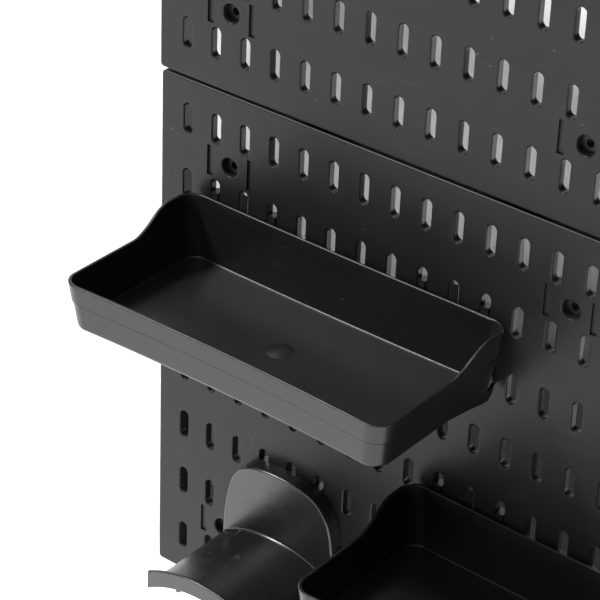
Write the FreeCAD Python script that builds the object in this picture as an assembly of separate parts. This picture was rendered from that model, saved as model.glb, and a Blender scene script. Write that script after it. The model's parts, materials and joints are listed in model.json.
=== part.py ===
import FreeCAD, Part
import math, os

# Pegboard tool wall: four moulded slot panels in a 2 x 2 block, standing off
# the wall on clip-in spacer blocks and tied together by rear joiner clips, with
# two deep lift-off trays and one arched hose hanger hooked into the slots.
# Millimetres. X runs right along the wall, Y into the wall, Z up.
# The origin is the middle of the block on the wall plane.

# ---- slot grid -----------------------------------------------------------
PITCH_X = 24.5            # column pitch
PITCH_Z = 49.0            # row pitch
COLS = 15
ROWS = 8
SLOT_LEN = 21.6           # inner slot, end to end
SLOT_W = 7.1
SLOT_LIP = 1.1            # rounding of the slot mouth

# ---- panel ---------------------------------------------------------------
MARGIN_X = 23.3           # panel edge to the first column
MARGIN_TOP = 28.4
MARGIN_BOTTOM = 31.6
PANEL_T = 3.0             # front plate
SLOT_DEPTH = 5.6          # front face to the back of the collar round each slot
COLLAR_T = 1.5            # collar wall
PANEL_DEPTH = 14.0        # front face to the back edge of the skirt
SKIRT_T = 2.0
CORNER_R = 3.0
EDGE_R = 1.2              # rounding of the front edge
RIB_T = 1.5
RIB_DEPTH = 11.0          # front face to the back edge of the ribs
RIB_SHIFT = 1.2           # ribs stand just right of the column centre
SIDE_RIB_X = 5.1          # outer rib to the first column centre
WALL_GAP = 16.0           # front face to the wall plane
STACK_PITCH = 405.06      # upper row over lower row
TILE_PITCH = 392.0        # right-hand panel from the left-hand one
UPPER_SHIFT = -1.6        # assembly play of the upper row

# ---- wall screw seats ----------------------------------------------------
SCREW_HOLE_D = 5.5
SEAT_D = 13.2
SEAT_DEPTH = 5.0
CUP_D = 17.4
CUP_BACK = 7.5
SEAT_COLS = (2.5, 13.5)
SEAT_ROWS = (1.5, 7.5)
CLIP_SLOT_W = 5.1
CLIP_SLOT_H = 22.5
CLIP_SLOT_DX = 17.15

# ---- spacer block --------------------------------------------------------
SPACER_W = 51.0
SPACER_H = 16.2
SPACER_FLANGE_H = 23.4
SPACER_FLANGE_T = 3.0
TAB_RECESS = 1.6          # tab face below the panel face
FIT = 0.12                # play of clipped pieces

# ---- joiner clip ---------------------------------------------------------
CLIP_LEN = 36.0
CLIP_BACK_T = 1.6
CLIP_FINGER_T = 1.8
CLIP_REACH = 8.0

# ---- tray ----------------------------------------------------------------
TRAY_X = 6.5              # middle of the tray in columns
TRAY_LEN = 263.6          # outside, over the rim
TRAY_DEEP = 131.6
TRAY_BACK_Y = -0.5        # outside of the back rim, from the panel face
TRAY_R = 13.5
TRAY_WALL = 2.1
TRAY_BAND = 0.9           # the upper band stands proud of the lower wall
TRAY_BAND_H = 14.1        # low rim down to the ledge
TRAY_RIM_LOW = -4.686     # heights in columns below the first row datum
TRAY_RIM_HIGH = -4.115
TRAY_BOTTOM = -6.08
TRAY_FLOOR = 2.4
TRAY_GROOVE_H = 0.9       # line cut in under the upper band
TRAY_GROOVE_D = 0.6
TRAY_INNER_R = 1.4        # inside corner between floor and walls
DRAFT_SIDE = 5.5          # the base is this much smaller on each side
DRAFT_FRONT = 5.0
DRAFT_BACK = 2.6
BOW_FRONT = 3.3           # the long walls bow inwards
BOW_BACK = 1.4
DISC_R = 9.6
DISC_H = 1.1
TRAY_HOOKS = (2, 4, 9, 11)
TRAY_TONGUES = (3, 10)
TRAY_ROW = 2

# ---- hook ----------------------------------------------------------------
PEG_W = 5.6               # through the plate
BARB_W = 2.7              # behind the plate, left half of the slot
BARB_X = -3.05            # left side of the barb from the column centre
PEG_H = 12.2
REST = 0.3                # height of the peg over the slot bottom

# ---- hose hanger ---------------------------------------------------------
HANG_X = 4.97             # middle, in columns
HANG_COLS = (4, 6)
HANG_ROWS = (6, 7)
HANG_PLATE_T = 12.2
HANG_BACK_Y = -0.4
SADDLE_R = 90.0
SADDLE_TOP = -14.03       # apex, in columns
SADDLE_LEN = 83.0
SADDLE_T = 3.2
SADDLE_HALF = 36.0        # degrees either side, before the ends are squared
SADDLE_W = 94.8           # over the squared ends
LIP_UP = 9.6
LIP_T = 3.0
LIP_BLEND = 8.0

V = FreeCAD.Vector
os.makedirs("parts", exist_ok=True)

PANEL_W = 2 * MARGIN_X + (COLS - 1) * PITCH_X
PANEL_H = MARGIN_TOP + MARGIN_BOTTOM + (ROWS - 1) * PITCH_Z
DATUM_X = 16.0            # block centre in columns
DATUM_Z = ((MARGIN_TOP + STACK_PITCH - 2 * PITCH_X)
           + (-(ROWS) * PITCH_Z - MARGIN_BOTTOM)) / 2.0


def gx(col):
    """Column number to X."""
    return (col - DATUM_X) * PITCH_X


def gy(mm):
    """Depth from the panel face to Y."""
    return mm - WALL_GAP


def gz(h):
    """Height in column pitches over the row datum to Z (row j is at -2 j)."""
    return h * PITCH_X - DATUM_Z


def box(x0, x1, y0, y1, z0, z1):
    return Part.makeBox(x1 - x0, y1 - y0, z1 - z0, V(x0, y0, z0))


def cyl(r, x, z, y0, y1):
    return Part.makeCylinder(r, y1 - y0, V(x, y0, z), V(0, 1, 0))


def stadium(x, z, w, length, y):
    """Vertical stadium wire in the plane Y = y."""
    r = w / 2.0
    h = length / 2.0 - r
    a, b = V(x - r, y, z - h), V(x - r, y, z + h)
    c, d = V(x + r, y, z + h), V(x + r, y, z - h)
    return Part.Wire([
        Part.makeLine(a, b),
        Part.Arc(b, V(x, y, z + h + r), c).toShape(),
        Part.makeLine(c, d),
        Part.Arc(d, V(x, y, z - h - r), a).toShape()])


def rounded_rect(x0, x1, z0, z1, r, y):
    k = r * (1 - math.sqrt(0.5))
    p = [V(x0 + r, y, z0), V(x1 - r, y, z0), V(x1 - k, y, z0 + k),
         V(x1, y, z0 + r), V(x1, y, z1 - r), V(x1 - k, y, z1 - k),
         V(x1 - r, y, z1), V(x0 + r, y, z1), V(x0 + k, y, z1 - k),
         V(x0, y, z1 - r), V(x0, y, z0 + r), V(x0 + k, y, z0 + k)]
    return Part.Wire([
        Part.makeLine(p[0], p[1]), Part.Arc(p[1], p[2], p[3]).toShape(),
        Part.makeLine(p[3], p[4]), Part.Arc(p[4], p[5], p[6]).toShape(),
        Part.makeLine(p[6], p[7]), Part.Arc(p[7], p[8], p[9]).toShape(),
        Part.makeLine(p[9], p[10]), Part.Arc(p[10], p[11], p[0]).toShape()])


def rect_wire(x0, x1, z0, z1, y):
    return Part.makePolygon([V(x0, y, z0), V(x1, y, z0), V(x1, y, z1),
                             V(x0, y, z1), V(x0, y, z0)])


def one(shape):
    """The single solid of a result, refined."""
    s = shape.removeSplitter()
    if len(s.Solids) != 1:
        raise RuntimeError("expected one solid, got %d" % len(s.Solids))
    return s.Solids[0]


def save(name, shape):
    for s in shape.Solids:
        if not s.isValid() or not s.isClosed():
            raise RuntimeError(name + " is not a closed valid solid")
    shape.exportStep("parts/%s.step" % name)
    print(name, len(shape.Solids), "solid(s)", len(shape.Faces), "faces",
          round(shape.Volume / 1000.0, 2), "cm3")


# ---- panel, drawn for the lower left position ------------------------------
def make_panel():
    x0, x1 = gx(1) - MARGIN_X, gx(COLS) + MARGIN_X
    z0, z1 = gz(-2 * ROWS) - MARGIN_BOTTOM, gz(-2) + MARGIN_TOP
    y0, y1 = gy(0), gy(PANEL_T)
    outer = rounded_rect(x0, x1, z0, z1, CORNER_R, y0)
    holes = []
    seats = [(gx(c), gz(-2 * r)) for c in SEAT_COLS for r in SEAT_ROWS]
    for j in range(1, ROWS + 1):
        for i in range(1, COLS + 1):
            holes.append(stadium(gx(i), gz(-2 * j), SLOT_W, SLOT_LEN, y0))
    for sx, sz in seats:
        holes.append(Part.Wire(Part.Circle(V(sx, y0, sz), V(0, 1, 0),
                                           SEAT_D / 2.0).toShape()))
        for s in (-1, 1):
            cx = sx + s * CLIP_SLOT_DX
            holes.append(rect_wire(cx - CLIP_SLOT_W / 2.0, cx + CLIP_SLOT_W / 2.0,
                                   sz - CLIP_SLOT_H / 2.0, sz + CLIP_SLOT_H / 2.0, y0))
    face = Part.makeFace([outer] + holes, "Part::FaceMakerBullseye")
    plate = face.extrude(V(0, PANEL_T, 0))
    if len(plate.Solids) != 1:
        raise RuntimeError("plate")
    plate = plate.Solids[0]
    # soft mouths on the slots and the screw seats, and a soft front edge
    mouth, rim = [], []
    for e in plate.Edges:
        bb = e.BoundBox
        if abs(bb.YMin - y0) > 1e-6 or abs(bb.YMax - y0) > 1e-6:
            continue
        if (bb.XMin < x0 + CORNER_R + 0.01 or bb.XMax > x1 - CORNER_R - 0.01
                or bb.ZMin < z0 + CORNER_R + 0.01 or bb.ZMax > z1 - CORNER_R - 0.01):
            rim.append(e)
            continue
        cx, cz = bb.Center.x, bb.Center.z
        if bb.ZLength < 0.01 and bb.XLength < CLIP_SLOT_W + 0.2:
            continue
        if abs(bb.ZLength - CLIP_SLOT_H) < 0.05 and bb.XLength < 0.01:
            continue
        mouth.append(e)
    plate = plate.makeFillet(SLOT_LIP, mouth)
    # skirt and ribs behind the plate
    skirt_out = Part.Face(rounded_rect(x0, x1, z0, z1, CORNER_R, y1))
    skirt_in = Part.Face(rounded_rect(x0 + SKIRT_T, x1 - SKIRT_T, z0 + SKIRT_T,
                                      z1 - SKIRT_T, CORNER_R - SKIRT_T, y1))
    skirt = skirt_out.cut(skirt_in).extrude(V(0, PANEL_DEPTH - PANEL_T, 0))
    adds = [skirt]
    for i in (4, 7, 10, 13):
        rx = gx(i) + RIB_SHIFT
        adds.append(box(rx - RIB_T / 2, rx + RIB_T / 2, y1, gy(RIB_DEPTH),
                        z0 + 1, z1 - 1))
    for rx in (gx(1) - SIDE_RIB_X, gx(COLS) + SIDE_RIB_X):
        adds.append(box(rx - RIB_T / 2, rx + RIB_T / 2, y1, gy(PANEL_DEPTH - 0.5),
                        z0 + 1, z1 - 1))
    for j in (2, 4, 6):
        rz = gz(-2 * j - 1)
        adds.append(box(x0 + 1, x1 - 1, y1, gy(RIB_DEPTH),
                        rz - RIB_T / 2, rz + RIB_T / 2))
    cups = [cyl(CUP_D / 2, sx, sz, gy(1.5), gy(CUP_BACK)) for sx, sz in seats]
    inner = Part.Compound([Part.Face(stadium(gx(i), gz(-2 * j), SLOT_W, SLOT_LEN, y1))
                           for i in range(1, COLS + 1) for j in range(1, ROWS + 1)])
    collars = []
    for i in range(1, COLS + 1):
        for j in range(1, ROWS + 1):
            ring = Part.makeFace([stadium(gx(i), gz(-2 * j), SLOT_W + 2 * COLLAR_T,
                                          SLOT_LEN + 2 * COLLAR_T, y1),
                                  stadium(gx(i), gz(-2 * j), SLOT_W, SLOT_LEN, y1)],
                                 "Part::FaceMakerBullseye")
            collars.append(ring.extrude(V(0, SLOT_DEPTH - PANEL_T, 0)))
    throats = inner.extrude(V(0, SLOT_DEPTH - PANEL_T, 0))
    frame = adds[0].fuse(adds[1:] + cups).cut(throats).fuse(collars)
    ribs_only = frame.cut([cyl(SEAT_D / 2, sx, sz, gy(0), gy(SEAT_DEPTH)) for sx, sz in seats]
                          + [cyl(SCREW_HOLE_D / 2, sx, sz, gy(0), gy(WALL_GAP)) for sx, sz in seats])
    # the ribs stop short of the spacer blocks
    ribs_only = ribs_only.cut([
        box(sx - SPACER_W / 2 - 0.4, sx + SPACER_W / 2 + 0.4, y1, gy(PANEL_DEPTH),
            sz - SPACER_FLANGE_H / 2 - 0.4, sz + SPACER_FLANGE_H / 2 + 0.4).cut(
            cyl(CUP_D / 2, sx, sz, gy(0), gy(WALL_GAP))) for sx, sz in seats])
    # keep only what stands behind the plate, then join
    back_half = box(x0 - 1, x1 + 1, y1, gy(PANEL_DEPTH), z0 - 1, z1 + 1)
    ribs_only = ribs_only.common(back_half)
    body = one(plate.fuse(ribs_only))
    front_edges = []
    for e in body.Edges:
        bb = e.BoundBox
        if abs(bb.YMin - y0) < 1e-6 and abs(bb.YMax - y0) < 1e-6 and (
                bb.XMin < x0 + 0.01 or bb.XMax > x1 - 0.01
                or bb.ZMin < z0 + 0.01 or bb.ZMax > z1 - 0.01):
            front_edges.append(e)
    try:
        rounded = body.makeFillet(EDGE_R, front_edges)
        if rounded.isValid() and len(rounded.Solids) == 1:
            body = rounded.Solids[0]
    except Exception as err:
        print("front edge left sharp:", err)
    return body


# ---- spacer block at one screw seat ---------------------------------------
def make_spacer(sx, sz):
    yb = gy(PANEL_T) + FIT
    flange = box(sx - SPACER_W / 2, sx + SPACER_W / 2, yb, yb + SPACER_FLANGE_T,
                 sz - SPACER_FLANGE_H / 2, sz + SPACER_FLANGE_H / 2)
    block = box(sx - SPACER_W / 2 + 1.5, sx + SPACER_W / 2 - 1.5, yb + 0.5, gy(WALL_GAP),
                sz - SPACER_H / 2, sz + SPACER_H / 2)
    tabs = []
    for s in (-1, 1):
        cx = sx + s * CLIP_SLOT_DX
        tabs.append(box(cx - CLIP_SLOT_W / 2 + FIT, cx + CLIP_SLOT_W / 2 - FIT,
                        gy(TAB_RECESS), yb + 1.0,
                        sz - CLIP_SLOT_H / 2 + FIT, sz + CLIP_SLOT_H / 2 - FIT))
    body = flange.fuse([block] + tabs)
    # two coring pockets open to the wall, either side of the screw boss
    pockets = []
    for s in (-1, 1):
        cx = sx + s * (CLIP_SLOT_DX - 0.6)
        pockets.append(box(cx - 5.2, cx + 5.2, gy(WALL_GAP) - 8.0, gy(WALL_GAP) + 1,
                           sz - SPACER_H / 2 + 2.0, sz + SPACER_H / 2 - 2.0))
    body = body.cut(pockets + [
        cyl(CUP_D / 2 + 0.3, sx, sz, gy(0), gy(CUP_BACK) + FIT),
        cyl(SCREW_HOLE_D / 2, sx, sz, gy(0), gy(WALL_GAP) + 1)])
    return one(body)


# ---- joiner clips ----------------------------------------------------------
def clip_vertical_seam(xc, zc, gap):
    """Clip over the two skirts of a left-right seam."""
    reach0 = gy(PANEL_DEPTH) - CLIP_REACH
    yb = gy(PANEL_DEPTH) + FIT
    half = gap / 2 + SKIRT_T + FIT
    body = box(xc - half - CLIP_FINGER_T, xc + half + CLIP_FINGER_T, yb, yb + CLIP_BACK_T,
               zc - CLIP_LEN / 2, zc + CLIP_LEN / 2)
    parts = []
    for s in (-1, 1):
        a = xc + s * half
        b = xc + s * (half + CLIP_FINGER_T)
        parts.append(box(min(a, b), max(a, b), reach0, yb + 0.5,
                         zc - CLIP_LEN / 2, zc + CLIP_LEN / 2))
    parts.append(box(xc - gap / 2 + FIT, xc + gap / 2 - FIT, reach0 + 2, yb + 0.5,
                     zc - CLIP_LEN / 2, zc + CLIP_LEN / 2))
    return one(body.fuse(parts))


def clip_horizontal_seam(xc, zc, gap):
    """Clip over the two skirts of an upper-lower seam."""
    reach0 = gy(PANEL_DEPTH) - CLIP_REACH
    yb = gy(PANEL_DEPTH) + FIT
    half = gap / 2 + SKIRT_T + FIT
    body = box(xc - CLIP_LEN / 2, xc + CLIP_LEN / 2, yb, yb + CLIP_BACK_T,
               zc - half - CLIP_FINGER_T, zc + half + CLIP_FINGER_T)
    parts = []
    for s in (-1, 1):
        a = zc + s * half
        b = zc + s * (half + CLIP_FINGER_T)
        parts.append(box(xc - CLIP_LEN / 2, xc + CLIP_LEN / 2, reach0, yb + 0.5,
                         min(a, b), max(a, b)))
    parts.append(box(xc - CLIP_LEN / 2, xc + CLIP_LEN / 2, reach0 + 2, yb + 0.5,
                     zc - gap / 2 + FIT, zc + gap / 2 - FIT))
    return one(body.fuse(parts))


# ---- hook that rests on a slot bottom ---------------------------------------
def make_hook(col, row, root_y):
    """Peg through the plate with a downward barb behind it. The barb's lower
    face runs at 45 degrees, the way the accessory lifts off."""
    zb = gz(-2 * row) - SLOT_LEN / 2
    x = gx(col)
    # only the barb's own half reaches past the plate: a rib may stand beside it
    peg = box(x - PEG_W / 2, x + PEG_W / 2, gy(root_y), gy(SLOT_DEPTH - 0.15),
              zb + REST, zb + REST + PEG_H).fuse(
        box(max(x - PEG_W / 2, x + BARB_X), x + BARB_X + BARB_W, gy(SLOT_DEPTH - 1.0),
            gy(SLOT_DEPTH + 0.3), zb + REST, zb + REST + PEG_H))
    # round the underside of the peg to the slot's end
    rr = SLOT_W / 2 - REST
    round_end = cyl(rr, x, zb + REST + rr, gy(-20), gy(20))
    above = box(x - PEG_W, x + PEG_W, gy(-20), gy(20), zb + REST + rr, zb + 60)
    peg = peg.common(round_end.fuse(above))
    bx = x + BARB_X
    y3 = gy(SLOT_DEPTH)
    pts = [(0.0, 3.2), (0.3, 1.5), (5.6, -3.8), (7.2, -3.4), (7.8, -1.6),
           (1.6, PEG_H - 0.6), (0.0, PEG_H - 0.2)]
    wire = Part.makePolygon([V(bx, y3 + a, zb + REST + b) for a, b in pts + pts[:1]])
    barb = Part.Face(wire).extrude(V(BARB_W, 0, 0))
    return peg, barb


# ---- tray ------------------------------------------------------------------
def bowed_outline(x0, x1, y0, y1, r, bow_f, bow_b, z):
    """Rounded rectangle in the plane Z = z whose long sides bow inwards.
    y0 is the front (towards the user), y1 the back."""
    k = r * (1 - math.sqrt(0.5))
    xm = (x0 + x1) / 2
    p = [V(x0 + r, y0, z), V(x1 - r, y0, z), V(x1 - k, y0 + k, z), V(x1, y0 + r, z),
         V(x1, y1 - r, z), V(x1 - k, y1 - k, z), V(x1 - r, y1, z), V(x0 + r, y1, z),
         V(x0 + k, y1 - k, z), V(x0, y1 - r, z), V(x0, y0 + r, z), V(x0 + k, y0 + k, z)]
    front = Part.Arc(p[0], V(xm, y0 + bow_f, z), p[1]).toShape() if bow_f else Part.makeLine(p[0], p[1])
    back = Part.Arc(p[6], V(xm, y1 - bow_b, z), p[7]).toShape() if bow_b else Part.makeLine(p[6], p[7])
    return Part.Wire([front, Part.Arc(p[1], p[2], p[3]).toShape(),
                      Part.makeLine(p[3], p[4]), Part.Arc(p[4], p[5], p[6]).toShape(),
                      back, Part.Arc(p[7], p[8], p[9]).toShape(),
                      Part.makeLine(p[9], p[10]), Part.Arc(p[10], p[11], p[0]).toShape()])


def tray_section(t, inset):
    """Outline at drop fraction t (0 at the high rim, 1 at the base), inset mm."""
    xc = gx(TRAY_X)
    zt, zb = gz(TRAY_RIM_HIGH), gz(TRAY_BOTTOM)
    x0 = xc - TRAY_LEN / 2 + DRAFT_SIDE * t + inset
    x1 = xc + TRAY_LEN / 2 - DRAFT_SIDE * t - inset
    y1 = gy(TRAY_BACK_Y) - DRAFT_BACK * t - inset
    y0 = gy(TRAY_BACK_Y) - TRAY_DEEP + DRAFT_FRONT * t + inset
    return bowed_outline(x0, x1, y0, y1, TRAY_R - inset, BOW_FRONT, BOW_BACK,
                         zt + (zb - zt) * t)


def make_tray():
    zt, zl, zb = gz(TRAY_RIM_HIGH), gz(TRAY_RIM_LOW), gz(TRAY_BOTTOM)
    h = zt - zb
    lower = Part.makeLoft([tray_section(0.0, TRAY_BAND), tray_section(1.0, TRAY_BAND)], True, True)
    base_edges = [e for e in lower.Edges
                  if abs(e.BoundBox.ZMin - zb) < 1e-4 and abs(e.BoundBox.ZMax - zb) < 1e-4]
    lower = lower.makeFillet(3.0, base_edges)
    t_band = (zt - (zl - TRAY_BAND_H)) / h
    band = Part.makeLoft([tray_section(0.0, 0.0), tray_section(t_band, 0.0)], True, True)
    band_edges = [e for e in band.Edges
                  if abs(e.BoundBox.ZMin - (zl - TRAY_BAND_H)) < 1e-4
                  and abs(e.BoundBox.ZMax - (zl - TRAY_BAND_H)) < 1e-4]
    band = band.makeFillet(0.25, band_edges)
    t_floor = 1.0 - TRAY_FLOOR / h
    inner = Part.makeLoft([tray_section(0.0, TRAY_WALL + TRAY_BAND * 0.4),
                           tray_section(t_floor, TRAY_WALL + TRAY_BAND)], True, True)
    floor_edges = [e for e in inner.Edges
                   if abs(e.BoundBox.ZMin - (zb + TRAY_FLOOR)) < 1e-4
                   and abs(e.BoundBox.ZMax - (zb + TRAY_FLOOR)) < 1e-4]
    inner = inner.makeFillet(TRAY_INNER_R, floor_edges)
    t_line = t_band + TRAY_GROOVE_H / h
    deep = TRAY_BAND + TRAY_GROOVE_D
    line = Part.makeLoft([tray_section(t_band, -3.0), tray_section(t_line, -3.0)], True, True).cut(
        Part.makeLoft([tray_section(t_band - 0.01, deep), tray_section(t_line + 0.01, deep)], True, True))
    shell = lower.cut(line).fuse(band).cut(inner)
    # the side walls sweep down from the high back to the low front
    yr = gy(TRAY_BACK_Y)
    span = [(-2.46, 0.0), (-2.20, 0.05), (-1.98, 0.14), (-1.75, 0.27), (-1.53, 0.40),
            (-1.32, 0.50), (-1.10, 0.56), (-0.95, 0.571)]
    curve = Part.BSplineCurve()
    pts = [V(gx(TRAY_X) - 200, gy(a * PITCH_X), zl + b * PITCH_X) for a, b in span]
    pts[-1].z = zt
    curve.interpolate(Points=pts, InitialTangent=V(0, 1, 0), FinalTangent=V(0, 1, 0))
    prof = Part.Wire([
        Part.makeLine(V(gx(TRAY_X) - 200, yr - TRAY_DEEP - 5, zl), pts[0]),
        curve.toShape(),
        Part.makeLine(pts[-1], V(gx(TRAY_X) - 200, yr + 20, zt)),
        Part.makeLine(V(gx(TRAY_X) - 200, yr + 20, zt), V(gx(TRAY_X) - 200, yr + 20, zb - 5)),
        Part.makeLine(V(gx(TRAY_X) - 200, yr + 20, zb - 5), V(gx(TRAY_X) - 200, yr - TRAY_DEEP - 5, zb - 5)),
        Part.makeLine(V(gx(TRAY_X) - 200, yr - TRAY_DEEP - 5, zb - 5), V(gx(TRAY_X) - 200, yr - TRAY_DEEP - 5, zl))])
    keep = Part.Face(prof).extrude(V(400, 0, 0))
    shell = one(shell.common(keep))
    # soften the rim
    try:
        rim = []
        for e in shell.Edges:
            bb = e.BoundBox
            mid = e.valueAt((e.FirstParameter + e.LastParameter) / 2)
            on_curve = False
            if bb.ZMin > zl - 0.01:
                n = 0
                for q in (e.valueAt(e.FirstParameter), mid, e.valueAt(e.LastParameter)):
                    yv = (q.y - gy(0)) / PITCH_X
                    if yv <= span[0][0]:
                        zz = zl
                    elif yv >= span[-1][0]:
                        zz = zt
                    else:
                        zz = None
                    if zz is None or abs(q.z - zz) < 0.01:
                        n += 1
                on_curve = n == 3
            if on_curve:
                rim.append(e)
        soft = shell.makeFillet(0.8, rim)
        if soft.isValid() and len(soft.Solids) == 1:
            shell = soft.Solids[0]
            print("tray rim rounded,", len(rim), "edges")
        else:
            print("tray rim fillet invalid")
    except Exception as err:
        print("tray rim left sharp:", err)
    adds = []
    # raised disc in the floor
    dome_r = (DISC_R ** 2 + DISC_H ** 2) / (2 * DISC_H)
    zf = zb + TRAY_FLOOR
    xd, yd = gx(TRAY_X - 0.06), gy(-2.55 * PITCH_X)
    dome = Part.makeSphere(dome_r, V(xd, yd, zf + DISC_H - dome_r)).common(
        Part.makeCylinder(DISC_R, 5, V(xd, yd, zf - 0.6)))
    adds.append(dome)
    # end webs: they drop below the floor towards the back and bear on the panel
    web = [(-2.30, TRAY_BOTTOM + 0.03), (-1.20, -6.20), (-0.70, -6.31), (-0.40, -6.33),
           (-0.22, -6.17), (-0.15, -5.94), (-0.21, -5.96), (-0.30, TRAY_BOTTOM + 0.03)]
    for col in (TRAY_X - 5.04, TRAY_X + 5.04):
        xf = gx(col)
        w = Part.makePolygon([V(xf - 1.1, gy(a * PITCH_X), gz(b)) for a, b in web + web[:1]])
        adds.append(Part.Face(w).extrude(V(2.2, 0, 0)))
        adds.append(box(xf - 1.1, xf + 1.1, gy(-3.6), gy(-0.4), gz(-5.95), gz(-4.70)))
    zs = gz(-2 * TRAY_ROW)
    for col in TRAY_HOOKS:
        peg, barb = make_hook(col, TRAY_ROW, -3.0)
        # the peg rises behind the rim only once it is past the rim
        lim = box(gx(col) - 10, gx(col) + 10, gy(-20), gy(-0.45), zt - 2.5, zt + 60)
        adds += [peg.cut(lim), barb]
    for col in TRAY_TONGUES:
        x = gx(col)
        stem = box(x - 2.8, x + 2.8, gy(-3.0), gy(1.2), zs - 9.0, zt - 2.5)
        tongue = box(x - 2.9, x + 2.9, gy(0.25), gy(1.35), zs - 9.0, zs + 8.2)
        ends = Part.Face(stadium(x, zs, SLOT_W - 1.0, SLOT_LEN - 1.0, gy(-5))).extrude(V(0, 10, 0))
        adds += [stem.common(box(x - 9, x + 9, gy(-9), gy(9), zs - 10, zt)), tongue.common(ends)]
    return one(shell.fuse(adds))


# ---- hose hanger -------------------------------------------------------------
def make_hanger():
    xc = gx(HANG_X)
    pts = [(-2.00, -15.10), (-2.02, -14.60), (-1.96, -13.60), (-1.87, -13.05), (-1.68, -12.50),
           (-1.36, -12.12), (-0.86, -11.91), (0.0, -11.83), (0.86, -11.91), (1.36, -12.12),
           (1.68, -12.50), (1.87, -13.05), (1.96, -13.60), (2.02, -14.60), (2.00, -15.10)]
    y1 = gy(HANG_BACK_Y)
    vs = [V(xc + a * PITCH_X, y1, gz(b)) for a, b in pts]
    cv = Part.BSplineCurve()
    cv.interpolate(vs)
    zlow = gz(-15.62)
    a0, a1 = vs[0], vs[-1]
    b0 = V(a0.x + 12, y1, zlow)
    b1 = V(a1.x - 12, y1, zlow)
    wire = Part.Wire([cv.toShape(),
                      Part.Arc(a1, V(a1.x - 3.2, y1, zlow + 3.6), b1).toShape(),
                      Part.makeLine(b1, b0),
                      Part.Arc(b0, V(a0.x + 3.2, y1, zlow + 3.6), a0).toShape()])
    plate = Part.Face(wire).extrude(V(0, -(HANG_PLATE_T + HANG_BACK_Y), 0))
    yf = gy(-HANG_PLATE_T)
    edges = [e for e in plate.Edges
             if abs(e.BoundBox.YMin - yf) < 1e-4 and abs(e.BoundBox.YMax - yf) < 1e-4]
    try:
        p2 = plate.makeFillet(1.4, edges)
        if p2.isValid():
            plate = p2
    except Exception as err:
        print("hanger plate left sharp:", err)
    # saddle with a flared front lip, turned about a long axis below it
    za = gz(SADDLE_TOP)
    axis_z = za - SADDLE_R
    yb = yf + 2.0
    ye = yf - SADDLE_LEN
    r_in = SADDLE_R - SADDLE_T
    top = SADDLE_R + LIP_UP
    k = LIP_BLEND * (1 - math.sqrt(0.5))
    c1y, c1r = ye + LIP_T + LIP_BLEND, SADDLE_R + LIP_BLEND
    prof = [
        Part.makeLine(V(xc, yb, axis_z + r_in), V(xc, yb, axis_z + SADDLE_R + 1.6)),
        Part.makeLine(V(xc, yb, axis_z + SADDLE_R + 1.6), V(xc, yf, axis_z + SADDLE_R + 1.6)),
        Part.Arc(V(xc, yf, axis_z + SADDLE_R + 1.6), V(xc, yf - 0.5, axis_z + SADDLE_R + 0.5),
                 V(xc, yf - 1.8, axis_z + SADDLE_R)).toShape(),
        Part.makeLine(V(xc, yf - 1.8, axis_z + SADDLE_R), V(xc, c1y, axis_z + SADDLE_R)),
        Part.Arc(V(xc, c1y, axis_z + SADDLE_R),
                 V(xc, c1y - LIP_BLEND * math.sqrt(0.5), axis_z + SADDLE_R + k),
                 V(xc, ye + LIP_T, axis_z + c1r)).toShape(),
        Part.makeLine(V(xc, ye + LIP_T, axis_z + c1r), V(xc, ye + LIP_T - 0.2, axis_z + top - 0.9)),
        Part.Arc(V(xc, ye + LIP_T - 0.2, axis_z + top - 0.9),
                 V(xc, ye + LIP_T - 0.6, axis_z + top - 0.2),
                 V(xc, ye + LIP_T - 1.3, axis_z + top)).toShape(),
        Part.makeLine(V(xc, ye + LIP_T - 1.3, axis_z + top), V(xc, ye + 0.9, axis_z + top)),
        Part.Arc(V(xc, ye + 0.9, axis_z + top), V(xc, ye + 0.26, axis_z + top - 0.26),
                 V(xc, ye, axis_z + top - 0.9)).toShape(),
        Part.makeLine(V(xc, ye, axis_z + top - 0.9), V(xc, ye, axis_z + r_in + 0.6)),
        Part.makeLine(V(xc, ye, axis_z + r_in + 0.6), V(xc, ye + 0.6, axis_z + r_in)),
        Part.makeLine(V(xc, ye + 0.6, axis_z + r_in), V(xc, yb, axis_z + r_in))]
    face = Part.Face(Part.Wire(prof))
    face.rotate(V(xc, 0, axis_z), V(0, 1, 0), -SADDLE_HALF)
    saddle = face.revolve(V(xc, 0, axis_z), V(0, 1, 0), 2 * SADDLE_HALF)
    ends = box(xc - SADDLE_W / 2, xc + SADDLE_W / 2, ye - 5, yb + 5,
               axis_z, axis_z + SADDLE_R + LIP_UP + 5)
    adds = [saddle.common(ends)]
    # two webs under the saddle
    for s in (-1, 1):
        x = xc + s * 24.0
        ztop = axis_z + math.sqrt(r_in ** 2 - 24.0 ** 2) + 1.0
        w = Part.makePolygon([V(x - 1.25, yf + 1, ztop), V(x - 1.25, ye + 4, ztop),
                              V(x - 1.25, ye + 4, ztop - 5.5), V(x - 1.25, yf + 1, zlow + 6),
                              V(x - 1.25, yf + 1, ztop)])
        adds.append(Part.Face(w).extrude(V(2.5, 0, 0)))
    for row in HANG_ROWS:
        for col in HANG_COLS:
            peg, barb = make_hook(col, row, HANG_BACK_Y - 1.5)
            adds += [peg, barb]
    return one(plate.fuse(adds))


# ---- build -------------------------------------------------------------------
panel = make_panel()
ORIG = {"lower_left": (0.0, 0.0), "lower_right": (TILE_PITCH, 0.0),
        "upper_left": (UPPER_SHIFT, STACK_PITCH),
        "upper_right": (TILE_PITCH + UPPER_SHIFT, STACK_PITCH)}
for key, (dx, dz) in ORIG.items():
    p = panel.copy()
    p.translate(V(dx, 0, dz))
    save("panel_" + key, p)
    n = 0
    for r in SEAT_ROWS:
        for c in SEAT_COLS:
            n += 1
            s = make_spacer(gx(c), gz(-2 * r))
            s.translate(V(dx, 0, dz))
            save("spacer_%s_%d" % (key, n), s)

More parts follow.
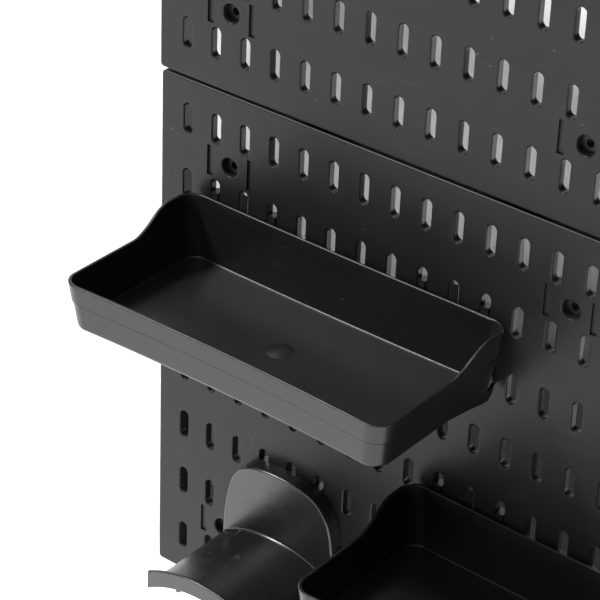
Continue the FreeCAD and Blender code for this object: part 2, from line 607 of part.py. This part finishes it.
left_edge = gx(1) - MARGIN_X
right_edge = gx(COLS) + MARGIN_X
gap_x = TILE_PITCH - PANEL_W
gap_z = STACK_PITCH - PANEL_H
zlo = gz(-2 * ROWS) - MARGIN_BOTTOM
zhi = gz(-2) + MARGIN_TOP
for key, dx, dz in (("lower", 0.0, 0.0), ("upper", UPPER_SHIFT, STACK_PITCH)):
    for n, frac in ((1, 0.80), (2, 0.20)):
        zc = zlo + PANEL_H * frac + dz
        save("joiner_%s_%d" % (key, n),
             clip_vertical_seam(right_edge + gap_x / 2 + dx, zc, gap_x))
for key, dx in (("left", 0.0), ("right", TILE_PITCH)):
    for n, col in ((1, 5.5), (2, 11.5)):
        save("joiner_%s_%d" % (key, n),
             clip_horizontal_seam(gx(col) + dx, zhi + gap_z / 2, gap_z))

tray = make_tray()
save("tray_upper", tray)
t2 = tray.copy()
t2.translate(V(8 * PITCH_X, 0, -3 * PITCH_Z))
save("tray_lower", t2)
save("hose_hanger", make_hanger())
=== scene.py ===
import json
import math

import bpy
from mathutils import Matrix, Vector

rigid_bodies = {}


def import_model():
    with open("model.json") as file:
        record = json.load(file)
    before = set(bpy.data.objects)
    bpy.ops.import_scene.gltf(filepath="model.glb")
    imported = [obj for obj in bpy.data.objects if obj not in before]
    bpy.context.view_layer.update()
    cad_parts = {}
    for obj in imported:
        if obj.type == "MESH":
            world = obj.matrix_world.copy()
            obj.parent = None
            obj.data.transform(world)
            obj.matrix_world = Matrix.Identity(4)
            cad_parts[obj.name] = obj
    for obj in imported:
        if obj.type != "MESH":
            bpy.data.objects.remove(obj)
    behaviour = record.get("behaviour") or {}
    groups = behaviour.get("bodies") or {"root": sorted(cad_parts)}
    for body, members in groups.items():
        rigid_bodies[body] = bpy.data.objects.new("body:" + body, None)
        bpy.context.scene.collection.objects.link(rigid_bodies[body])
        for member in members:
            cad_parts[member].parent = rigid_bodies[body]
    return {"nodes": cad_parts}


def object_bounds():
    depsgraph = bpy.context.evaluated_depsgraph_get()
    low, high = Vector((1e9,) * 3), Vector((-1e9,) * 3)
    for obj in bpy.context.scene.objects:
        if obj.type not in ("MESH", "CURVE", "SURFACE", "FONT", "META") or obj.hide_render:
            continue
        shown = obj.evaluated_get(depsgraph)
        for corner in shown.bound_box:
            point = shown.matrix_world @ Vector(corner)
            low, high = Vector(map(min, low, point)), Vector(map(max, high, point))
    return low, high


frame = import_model()
cad_box = [list(map(float, c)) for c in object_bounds()]
scene = bpy.context.scene

# ---------------------------------------------------------------- camera
PITCH = 0.0245
AZ, EL, ROLL = 0.6533, 0.5436, 0.0407
fwd = Vector((-math.cos(EL) * math.sin(AZ), math.cos(EL) * math.cos(AZ), -math.sin(EL)))
rgt = Vector((math.cos(AZ), math.sin(AZ), 0.0))
upv = rgt.cross(fwd)
r2 = math.cos(ROLL) * rgt + math.sin(ROLL) * upv
u2 = -math.sin(ROLL) * rgt + math.cos(ROLL) * upv
cam_data = bpy.data.cameras.new("camera")
cam = bpy.data.objects.new("camera", cam_data)
scene.collection.objects.link(cam)
rot = Matrix((r2, u2, -fwd)).transposed().to_4x4()
cam.matrix_world = Matrix.Translation((0.58682, -1.13244, 0.71914)) @ rot
cam_data.sensor_width = 36.0
cam_data.sensor_fit = "HORIZONTAL"
cam_data.lens = 36.0 * 2471.64 / 600.0
cam_data.clip_start = 0.01
cam_data.clip_end = 50.0
scene.camera = cam

# ---------------------------------------------------------------- stage and light
FLOOR_Z = cad_box[0][2] - 0.023


def node(nt, kind, **props):
    n = nt.nodes.new(kind)
    for k, v in props.items():
        setattr(n, k, v)
    return n


def link(nt, a, b):
    nt.links.new(a, b)


floor_mat = bpy.data.materials.new("studio_floor")
floor_mat.use_nodes = True
nt = floor_mat.node_tree
bsdf = nt.nodes["Principled BSDF"]
bsdf.inputs["Base Color"].default_value = (0.93, 0.93, 0.925, 1.0)
bsdf.inputs["Roughness"].default_value = 0.9
bsdf.inputs["Specular IOR Level"].default_value = 0.1

mesh = bpy.data.meshes.new("floor")
S = 9.0
mesh.from_pydata([(-S, -S, FLOOR_Z), (S, -S, FLOOR_Z), (S, S, FLOOR_Z), (-S, S, FLOOR_Z)], [], [(0, 1, 2, 3)])
floor = bpy.data.objects.new("floor", mesh)
scene.collection.objects.link(floor)
floor.data.materials.append(floor_mat)

world = bpy.data.worlds.new("studio")
scene.world = world
world.use_nodes = True
wn = world.node_tree
bg = wn.nodes["Background"]
bg.inputs["Color"].default_value = (1.0, 1.0, 1.0, 1.0)
bg.inputs["Strength"].default_value = 0.035


def aim(obj, direction):
    obj.rotation_mode = "QUATERNION"
    obj.rotation_quaternion = Vector(direction).to_track_quat("-Z", "Y")


on_object = bpy.data.collections.new("lit_object")
for obj in frame["nodes"].values():
    on_object.objects.link(obj)
on_floor = bpy.data.collections.new("lit_floor")
on_floor.objects.link(floor)


def sun(name, energy, angle, toward, only=None):
    """A soft distant light; toward points from the object to the light."""
    data = bpy.data.lights.new(name, "SUN")
    data.energy = energy
    data.angle = math.radians(angle)
    obj = bpy.data.objects.new(name, data)
    scene.collection.objects.link(obj)
    aim(obj, [-c for c in toward])
    if only is not None:
        obj.light_linking.receiver_collection = only
    return obj


PHI, RISE = 0.700, 0.485
FLOOR_LIGHT = 2.15
sun("floor_wash", FLOOR_LIGHT * math.pi / (0.93 * math.sin(RISE)), 15.0,
    (math.cos(RISE) * math.sin(PHI), -math.cos(RISE) * math.cos(PHI), math.sin(RISE)), only=on_floor)
sun("front_softbox", 0.55, 50.0, (-0.05, -0.62, 0.78), only=on_object)
sun("left_softbox", 3.0, 11.0, (-0.52, -0.36, 0.775), only=on_object)
sun("back_wall", 0.8, 60.0, (-0.60, 0.60, 0.53), only=on_object)
sun("top_fill", 0.55, 110.0, (-0.10, -0.35, 0.93), only=on_object)

# a soft pool on the floor behind, which shows through the upper slots
pool_data = bpy.data.lights.new("floor_pool", "SPOT")
pool_data.energy = 52.0
pool_data.spot_size = math.radians(22.0)
pool_data.spot_blend = 0.85
pool_data.shadow_soft_size = 0.15
pool = bpy.data.objects.new("floor_pool", pool_data)
scene.collection.objects.link(pool)
pool.location = (-0.70, 0.70, FLOOR_Z + 2.0)
aim(pool, (0.0, 0.0, -1.0))
pool.light_linking.receiver_collection = on_floor

# a studio flag: it keeps the floor light from shining through the lower slots,
# and touches nothing else (no camera, bounce or reflection rays, one light only)
fx, fy = cad_box[0][0], 0.02
flag_pts = [(fx + 0.12, fy, FLOOR_Z), (fx + 0.12, fy, FLOOR_Z + 0.351),
            (cad_box[1][0] + 0.05, fy, FLOOR_Z + 0.351), (cad_box[1][0] + 0.05, fy, FLOOR_Z)]
flag_mesh = bpy.data.meshes.new("flag")
flag_mesh.from_pydata([tuple(p) for p in flag_pts], [], [tuple(range(len(flag_pts)))])
flag = bpy.data.objects.new("flag", flag_mesh)
scene.collection.objects.link(flag)
flag.visible_camera = flag.visible_diffuse = flag.visible_glossy = False
flag.visible_transmission = flag.visible_volume_scatter = False
flag_mat = bpy.data.materials.new("studio_flag")
flag_mat.use_nodes = True
flag_mat.node_tree.nodes["Principled BSDF"].inputs["Base Color"].default_value = (0.02, 0.02, 0.02, 1.0)
flag_mesh.materials.append(flag_mat)
no_flag = bpy.data.collections.new("casts_shadow")
for obj in list(frame["nodes"].values()) + [floor]:
    no_flag.objects.link(obj)
for obj in scene.objects:
    if obj.type == "LIGHT" and obj.name != "floor_wash":
        obj.light_linking.blocker_collection = no_flag

scene.view_settings.view_transform = "Standard"
scene.view_settings.look = "None"
scene.view_settings.exposure = 0.0
scene.view_settings.gamma = 1.0


# ---------------------------------------------------------------- moulded black plastic
def plastic(name, base, light, rough, spec, grain=1.0, dust=0.5, scratch=0.5, mottle=0.5, seed=0.0):
    """Injection-moulded polypropylene: fine grain, slow mottling from the melt
    flow, faint handling scratches, and specks of dust."""
    m = bpy.data.materials.new(name)
    m.use_nodes = True
    nt = m.node_tree
    b = nt.nodes["Principled BSDF"]
    tc = node(nt, "ShaderNodeTexCoord")
    mp = node(nt, "ShaderNodeMapping")
    mp.inputs["Location"].default_value = (seed, seed * 0.7, seed * 1.3)
    link(nt, tc.outputs["Object"], mp.inputs["Vector"])
    vec = mp.outputs["Vector"]

    def noise(scale, detail=3.0, rough_=0.5, v=vec):
        n = node(nt, "ShaderNodeTexNoise")
        n.inputs["Scale"].default_value = scale
        n.inputs["Detail"].default_value = detail
        n.inputs["Roughness"].default_value = rough_
        link(nt, v, n.inputs["Vector"])
        return n.outputs["Fac"]

    def ramp(fac, p0, p1, c0=0.0, c1=1.0):
        r = node(nt, "ShaderNodeMapRange")
        r.inputs["From Min"].default_value = p0
        r.inputs["From Max"].default_value = p1
        r.inputs["To Min"].default_value = c0
        r.inputs["To Max"].default_value = c1
        link(nt, fac, r.inputs["Value"])
        return r.outputs["Result"]

    def math_(op, a, b_):
        n = node(nt, "ShaderNodeMath", operation=op)
        for i, q in enumerate((a, b_)):
            if isinstance(q, (int, float)):
                n.inputs[i].default_value = q
            else:
                link(nt, q, n.inputs[i])
        return n.outputs[0]

    # slow cloudy mottling
    cloud = noise(9.0, 4.0, 0.55)
    fine = noise(90.0, 4.0, 0.6)
    # long soft flow streaks
    st = node(nt, "ShaderNodeMapping")
    st.inputs["Scale"].default_value = (4.0, 4.0, 22.0)
    st.inputs["Rotation"].default_value = (0.0, math.radians(24.0), 0.0)
    link(nt, vec, st.inputs["Vector"])
    streak = noise(1.6, 3.0, 0.5, st.outputs["Vector"])
    # scratches: thin, long, in two directions
    scr = []
    for ang, sc in ((38.0, 1.0), (-57.0, 1.3), (81.0, 0.8)):
        sm = node(nt, "ShaderNodeMapping")
        sm.inputs["Rotation"].default_value = (math.radians(ang * 0.3), math.radians(ang), 0.0)
        sm.inputs["Scale"].default_value = (14.0 * sc, 60.0, 620.0 * sc)
        link(nt, vec, sm.inputs["Vector"])
        n1 = noise(1.0, 2.0, 0.5, sm.outputs["Vector"])
        scr.append(ramp(n1, 0.700, 0.735))
    scr_all = math_("MAXIMUM", math_("MAXIMUM", scr[0], scr[1]), scr[2])
    patch = ramp(noise(13.0, 2.0), 0.50, 0.62)
    scr_all = math_("MULTIPLY", scr_all, patch)
    # dust specks
    vo = node(nt, "ShaderNodeTexVoronoi", feature="F1")
    vo.inputs["Scale"].default_value = 210.0
    vo.inputs["Randomness"].default_value = 1.0
    link(nt, vec, vo.inputs["Vector"])
    speck = ramp(vo.outputs["Distance"], 0.10, 0.05)
    sel = node(nt, "ShaderNodeSeparateColor")
    link(nt, vo.outputs["Color"], sel.inputs["Color"])
    keep = ramp(sel.outputs["Red"], 0.955, 0.975)
    speck = math_("MULTIPLY", speck, keep)
    # dust settles on faces that look up
    geo = node(nt, "ShaderNodeNewGeometry")
    sep = node(nt, "ShaderNodeSeparateXYZ")
    link(nt, geo.outputs["Normal"], sep.inputs["Vector"])
    up = ramp(sep.outputs["Z"], 0.2, 0.95)
    film = math_("MULTIPLY", up, ramp(noise(40.0, 5.0, 0.65), 0.35, 0.75, 0.2, 1.0))

    # colour
    mix1 = node(nt, "ShaderNodeMix", data_type="RGBA")
    mix1.inputs["A"].default_value = (*base, 1.0)
    mix1.inputs["B"].default_value = (*light, 1.0)
    blendf = math_("ADD", math_("MULTIPLY", ramp(cloud, 0.3, 0.7), 0.55),
                   math_("MULTIPLY", ramp(streak, 0.35, 0.65), 0.45))
    link(nt, math_("MULTIPLY", blendf, mottle), mix1.inputs["Factor"])
    mix2 = node(nt, "ShaderNodeMix", data_type="RGBA")
    link(nt, mix1.outputs["Result"], mix2.inputs["A"])
    mix2.inputs["B"].default_value = (0.16, 0.16, 0.16, 1.0)
    link(nt, math_("MULTIPLY", scr_all, 0.35 * scratch), mix2.inputs["Factor"])
    mix3 = node(nt, "ShaderNodeMix", data_type="RGBA")
    link(nt, mix2.outputs["Result"], mix3.inputs["A"])
    mix3.inputs["B"].default_value = (0.42, 0.42, 0.41, 1.0)
    dusty = math_("ADD", math_("MULTIPLY", speck, 0.8 * dust), math_("MULTIPLY", film, 0.010 * dust))
    link(nt, dusty, mix3.inputs["Factor"])
    link(nt, mix3.outputs["Result"], b.inputs["Base Color"])

    # roughness
    r = math_("ADD", ramp(cloud, 0.3, 0.7, rough - 0.05, rough + 0.05),
              ramp(fine, 0.3, 0.7, -0.03, 0.03))
    r = math_("ADD", r, math_("MULTIPLY", math_("ADD", scr_all, speck), 0.15))
    link(nt, r, b.inputs["Roughness"])
    b.inputs["Specular IOR Level"].default_value = spec
    b.inputs["IOR"].default_value = 1.49

    # bump: fine moulded grain over a very slight unevenness
    g = noise(1900.0, 2.0, 0.6)
    bump1 = node(nt, "ShaderNodeBump")
    bump1.inputs["Strength"].default_value = 0.16 * grain
    bump1.inputs["Distance"].default_value = 0.00003
    link(nt, g, bump1.inputs["Height"])
    wav = noise(26.0, 2.0, 0.4)
    bump2 = node(nt, "ShaderNodeBump")
    bump2.inputs["Strength"].default_value = 0.05
    bump2.inputs["Distance"].default_value = 0.0012
    link(nt, wav, bump2.inputs["Height"])
    link(nt, bump1.outputs["Normal"], bump2.inputs["Normal"])
    bump3 = node(nt, "ShaderNodeBump", invert=True)
    bump3.inputs["Strength"].default_value = 0.25 * scratch
    bump3.inputs["Distance"].default_value = 0.0001
    link(nt, scr_all, bump3.inputs["Height"])
    link(nt, bump2.outputs["Normal"], bump3.inputs["Normal"])
    link(nt, bump3.outputs["Normal"], b.inputs["Normal"])
    return m


mats = {
    "panel": plastic("panel_plastic", (0.008, 0.008, 0.0084), (0.013, 0.013, 0.0134), 0.36, 0.27, 0.8, 0.8, 0.35, 0.9, 0.0),
    "tray": plastic("tray_plastic", (0.008, 0.008, 0.0084), (0.012, 0.012, 0.0124), 0.33, 0.46, 0.5, 0.4, 0.3, 0.8, 3.1),
    "hanger": plastic("hanger_plastic", (0.007, 0.007, 0.0074), (0.010, 0.010, 0.0104), 0.25, 0.80, 0.3, 0.3, 0.3, 0.6, 7.7),
    "spacer": plastic("spacer_plastic", (0.006, 0.006, 0.0062), (0.010, 0.010, 0.0102), 0.45, 0.35, 1.1, 0.5, 0.4, 0.7, 5.2),
    "joiner": plastic("joiner_plastic", (0.006, 0.006, 0.0062), (0.011, 0.011, 0.0112), 0.42, 0.35, 1.0, 0.5, 0.4, 0.7, 9.4),
}
for name, obj in frame["nodes"].items():
    key = name.split("_")[0]
    key = "hanger" if key == "hose" else key
    if not obj.material_slots:
        obj.data.materials.append(mats[key])
    for sl in obj.material_slots:
        sl.material = mats[key]
